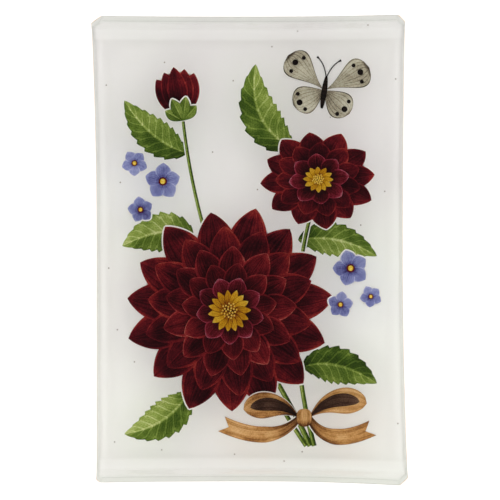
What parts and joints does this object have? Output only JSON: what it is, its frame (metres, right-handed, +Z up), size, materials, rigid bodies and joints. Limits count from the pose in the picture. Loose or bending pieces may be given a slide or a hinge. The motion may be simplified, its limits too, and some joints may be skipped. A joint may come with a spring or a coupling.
{
  "type": "glass decoupage tray",
  "caption": "Shallow rectangular tray of clear slumped glass with turned-up ends and nipped corners, over a sealed cut-paper flower picture.",
  "frame": {"origin": "on the underside, at the centre of the tray's box", "axes": "+Y along the tray's length towards the top of the picture, +X to the picture's right, +Z up"},
  "size_m": [0.1558, 0.231, 0.0132],
  "materials": {
    "clear_glass": "clear slumped glass, faintly grey-green at its fire-polished edges",
    "ground_paper": "off-white laid paper, faintly mottled, glued flat under the glass",
    "sealed_backing": "sealed paper backing, satin",
    "leaf_green_print": "printed paper, hand-coloured olive green with veins",
    "stem_green_print": "printed paper, green",
    "maroon_petal_print": "printed paper, deep maroon with fine dark veins",
    "red_petal_print": "printed paper, dark red with fine dark veins",
    "yellow_heart_print": "printed paper, golden yellow",
    "lavender_print": "printed paper, lavender blue with yellow eyes",
    "tan_ribbon_print": "printed paper, tan with folds",
    "brown_ribbon_print": "printed paper, dark brown",
    "stone_wing_print": "printed paper, stone grey with near-black spots",
    "dark_brown_print": "printed paper, near-black brown"
  },
  "bodies": {
    "root": {"glass_tray": "clear_glass", "ground_paper": "ground_paper", "backing": "sealed_backing", "leaf_1": "leaf_green_print", "leaf_2": "leaf_green_print", "leaf_3": "leaf_green_print", "leaf_4": "leaf_green_print", "leaf_5": "leaf_green_print", "leaf_6": "leaf_green_print", "stems": "stem_green_print", "large_bloom_petals_1": "maroon_petal_print", "large_bloom_petals_2": "maroon_petal_print", "large_bloom_petals_3": "red_petal_print", "large_bloom_petals_4": "red_petal_print", "large_bloom_petals_5": "red_petal_print", "large_bloom_heart": "yellow_heart_print", "side_bloom_petals_1": "maroon_petal_print", "side_bloom_petals_2": "maroon_petal_print", "side_bloom_petals_3": "red_petal_print", "side_bloom_heart": "yellow_heart_print", "bud_petals": "maroon_petal_print", "bud_sepals": "leaf_green_print", "blue_flower_1": "lavender_print", "blue_flower_2": "lavender_print", "blue_flower_3": "lavender_print", "blue_flower_4": "lavender_print", "blue_flower_5": "lavender_print", "blue_flower_6": "lavender_print", "ribbon_tail_1": "tan_ribbon_print", "ribbon_tail_2": "tan_ribbon_print", "ribbon_loop_1": "tan_ribbon_print", "ribbon_loop_2": "tan_ribbon_print", "ribbon_loop_inside_1": "brown_ribbon_print", "ribbon_loop_inside_2": "brown_ribbon_print", "ribbon_knot": "tan_ribbon_print", "butterfly_wings": "stone_wing_print", "butterfly_body": "dark_brown_print"}
  },
  "joints": []
}
